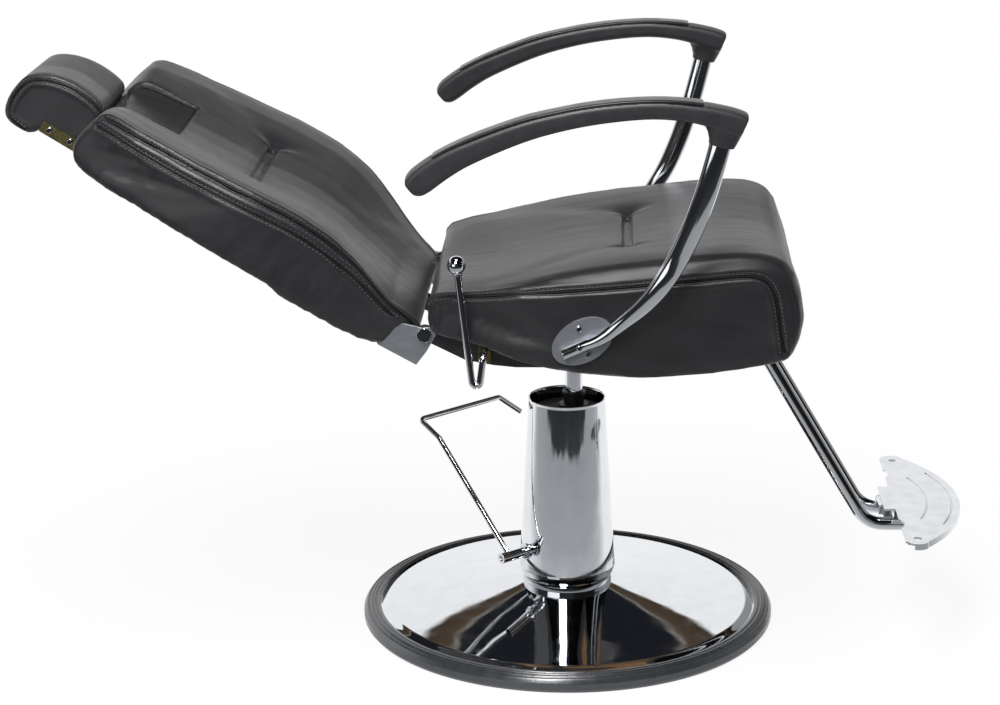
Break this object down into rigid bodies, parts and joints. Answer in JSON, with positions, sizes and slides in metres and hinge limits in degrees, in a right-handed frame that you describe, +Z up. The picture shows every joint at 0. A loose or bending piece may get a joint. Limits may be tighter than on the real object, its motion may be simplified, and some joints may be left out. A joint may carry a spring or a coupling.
{
  "type": "hydraulic barber chair",
  "caption": "Hydraulic barber chair with a reclining back, sliding headrest, swivel seat, pump pedal and flip-up foot plate on a round chrome base.",
  "frame": {"origin": "on the floor, on the axis of the round base", "axes": "+X points the way the sitter faces, towards the foot plate; +Y to the sitter's left; +Z up"},
  "size_m": [1.3401, 0.682, 0.8291],
  "materials": {
    "rim_rubber": "ribbed dark grey rubber",
    "seal_rubber": "black nitrile",
    "chrome": "mirror chrome plate",
    "dark_chrome": "chrome in deep shade",
    "cast_iron": "grey primed casting",
    "zinc_steel": "zinc plated",
    "bright_screw": "nickel plated",
    "bronze": "sintered bronze",
    "black_steel": "black powder coat",
    "plywood": "raw plywood",
    "leatherette": "black leatherette with a fine grain",
    "rear_cloth": "black leatherette, stretched flat",
    "satin_steel": "satin nickel plate",
    "yellow_zinc": "yellow zinc passivated",
    "arm_plastic": "moulded black polyurethane, satin",
    "inlay_plastic": "black polyurethane, slightly glossier",
    "plate_steel": "polished cast aluminium"
  },
  "bodies": {
    "base": {"base_rim": "rim_rubber", "base_dome": "chrome", "base_disc": "cast_iron", "base_bolts": "zinc_steel", "pump_housing": "cast_iron", "pump_gland": "seal_rubber", "column_collar": "dark_chrome", "column_cover": "chrome", "shaft_bush": "bronze", "plunger_spring": "zinc_steel"},
    "pedal": {"pedal_hub": "chrome", "pedal_rod": "chrome"},
    "plunger": {"pump_plunger": "zinc_steel"},
    "ram": {"ram": "chrome", "ram_piston": "seal_rubber"},
    "seat": {"seat_hub": "cast_iron", "swivel_plate": "black_steel", "swivel_bolts": "zinc_steel", "seat_frame": "black_steel", "seat_pan": "plywood", "seat_cushion": "leatherette", "lever_bracket": "yellow_zinc", "hinge_bolts": "bright_screw", "arm_flanges": "satin_steel", "arm_tube_right": "chrome", "arm_tube_left": "chrome", "arm_pad_right": "arm_plastic", "arm_pad_left": "arm_plastic", "arm_inlay_right": "inlay_plastic", "arm_inlay_left": "inlay_plastic", "arm_screws": "bright_screw", "foot_tubes": "chrome", "foot_bracket": "satin_steel", "foot_buffers": "rim_rubber", "foot_pin": "zinc_steel"},
    "lever": {"release_lever": "chrome", "lever_knob": "chrome"},
    "strut_barrel": {"strut_barrel": "black_steel"},
    "strut_rod": {"strut_rod": "zinc_steel"},
    "back": {"back_frame": "black_steel", "hinge_plates": "satin_steel", "back_board": "plywood", "back_cushion": "leatherette", "back_cover": "rear_cloth", "headrest_guides": "zinc_steel"},
    "headrest": {"headrest_bracket": "yellow_zinc", "headrest_core": "plywood", "headrest_cushion": "leatherette", "headrest_screws": "bright_screw"},
    "foot_plate": {"foot_plate": "plate_steel"}
  },
  "joints": [
    {"name": "pedal_press", "type": "hinge", "parent": "base", "child": "pedal", "pos_m": [-0.04459, -0.04015, 0.114], "axis": [-0.7431, -0.6691, 0], "range_deg": [0, 25], "stiffness_Nm_per_rad": 4, "springref_deg": -20.05},
    {"name": "plunger_stroke", "type": "slide", "parent": "base", "child": "plunger", "axis": [0, 0, -1], "range_m": [0, 0.007], "deforming": ["plunger_spring"]},
    {"name": "ram_lift", "type": "slide", "parent": "base", "child": "ram", "axis": [0, 0, 1], "range_m": [-0.04, 0.11]},
    {"name": "seat_swivel", "type": "hinge", "parent": "ram", "child": "seat", "pos_m": [0.01, 0, 0.4], "axis": [0, 0, 1], "continuous": true},
    {"name": "back_recline", "type": "hinge", "parent": "seat", "child": "back", "pos_m": [-0.189, 0, 0.485], "axis": [0, 1, 0], "range_deg": [0, 45]},
    {"name": "strut_swing", "type": "hinge", "parent": "seat", "child": "strut_barrel", "pos_m": [0.066, 0, 0.43], "axis": [0, 1, 0], "range_deg": [-1, 0.2]},
    {"name": "strut_extend", "type": "slide", "parent": "strut_barrel", "child": "strut_rod", "axis": [-0.9893, 0, 0.1462], "range_m": [-0.0005, 0.0165]},
    {"name": "headrest_slide", "type": "slide", "parent": "back", "child": "headrest", "axis": [-0.866, 0, 0.5], "range_m": [0, 0.08]},
    {"name": "release_pull", "type": "hinge", "parent": "seat", "child": "lever", "pos_m": [-0.108, -0.1, 0.464], "axis": [0, -1, 0], "range_deg": [0, 12], "stiffness_Nm_per_rad": 2, "springref_deg": -17.19},
    {"name": "foot_flip", "type": "hinge", "parent": "seat", "child": "foot_plate", "pos_m": [0.456, 0, 0.171], "axis": [0, -1, 0], "range_deg": [0, 80]}
  ],
  "couplings": [
    {"joint": "plunger_stroke", "follows": "pedal_press", "m_per_rad": 0.0158},
    {"joint": "strut_swing", "follows": "back_recline", "ratio": -0.01197},
    {"joint": "strut_extend", "follows": "back_recline", "m_per_rad": 0.0194}
  ]
}
